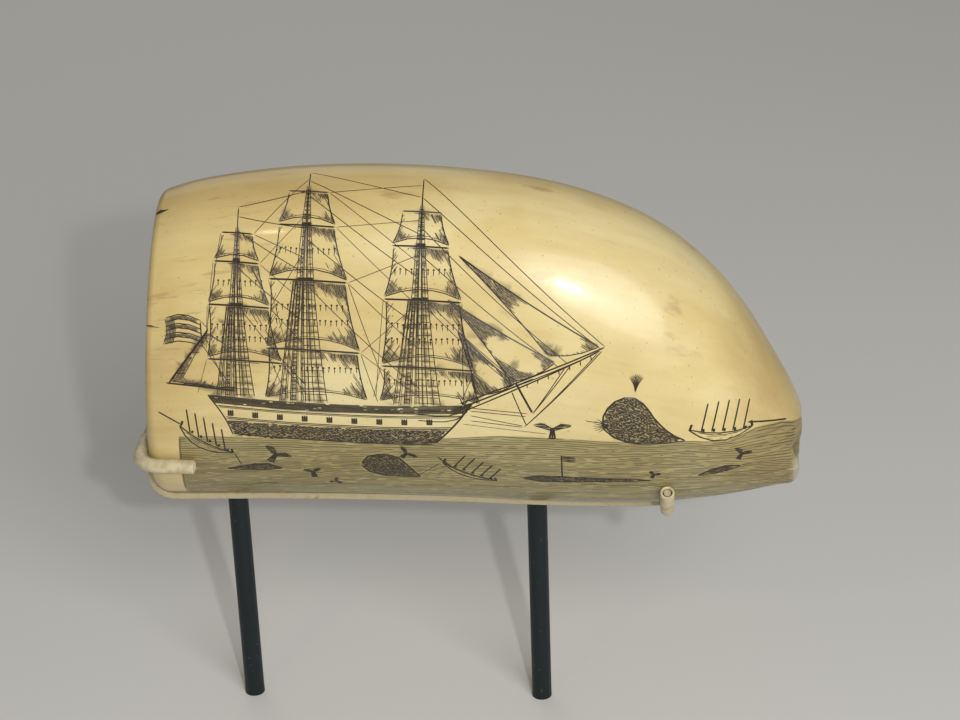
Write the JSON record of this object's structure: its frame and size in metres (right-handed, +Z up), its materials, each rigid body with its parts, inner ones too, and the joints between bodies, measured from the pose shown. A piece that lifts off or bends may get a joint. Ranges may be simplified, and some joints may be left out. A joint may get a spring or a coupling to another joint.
{
  "type": "scrimshaw whale tooth on display cradle",
  "caption": "Whale tooth with an engraved whaling scene, lying on a slim metal cradle with sleeved fingers and round posts that are set in a deck.",
  "frame": {"origin": "midway between the feet of the two posts, on the plane of the deck that they are set in", "axes": "+X along the tooth from its sawn root to its tip, -Y towards the engraved face, +Z up"},
  "size_m": [0.1521, 0.0474, 0.1387],
  "materials": {
    "ivory": "polished tooth ivory, waxed by handling, engraved lines filled with lamp black",
    "cradle_paint": "cream paint on brass, satin",
    "sleeve": "soft cream tubing",
    "post_paint": "dark blue-grey paint on steel rod, matt"
  },
  "bodies": {
    "root": {"tooth": "ivory", "cradle": "cradle_paint", "sleeve_left_front": "sleeve", "sleeve_left_back": "sleeve", "sleeve_right_front": "sleeve", "sleeve_right_back": "sleeve", "post_left": "post_paint", "post_right": "post_paint"}
  },
  "joints": []
}
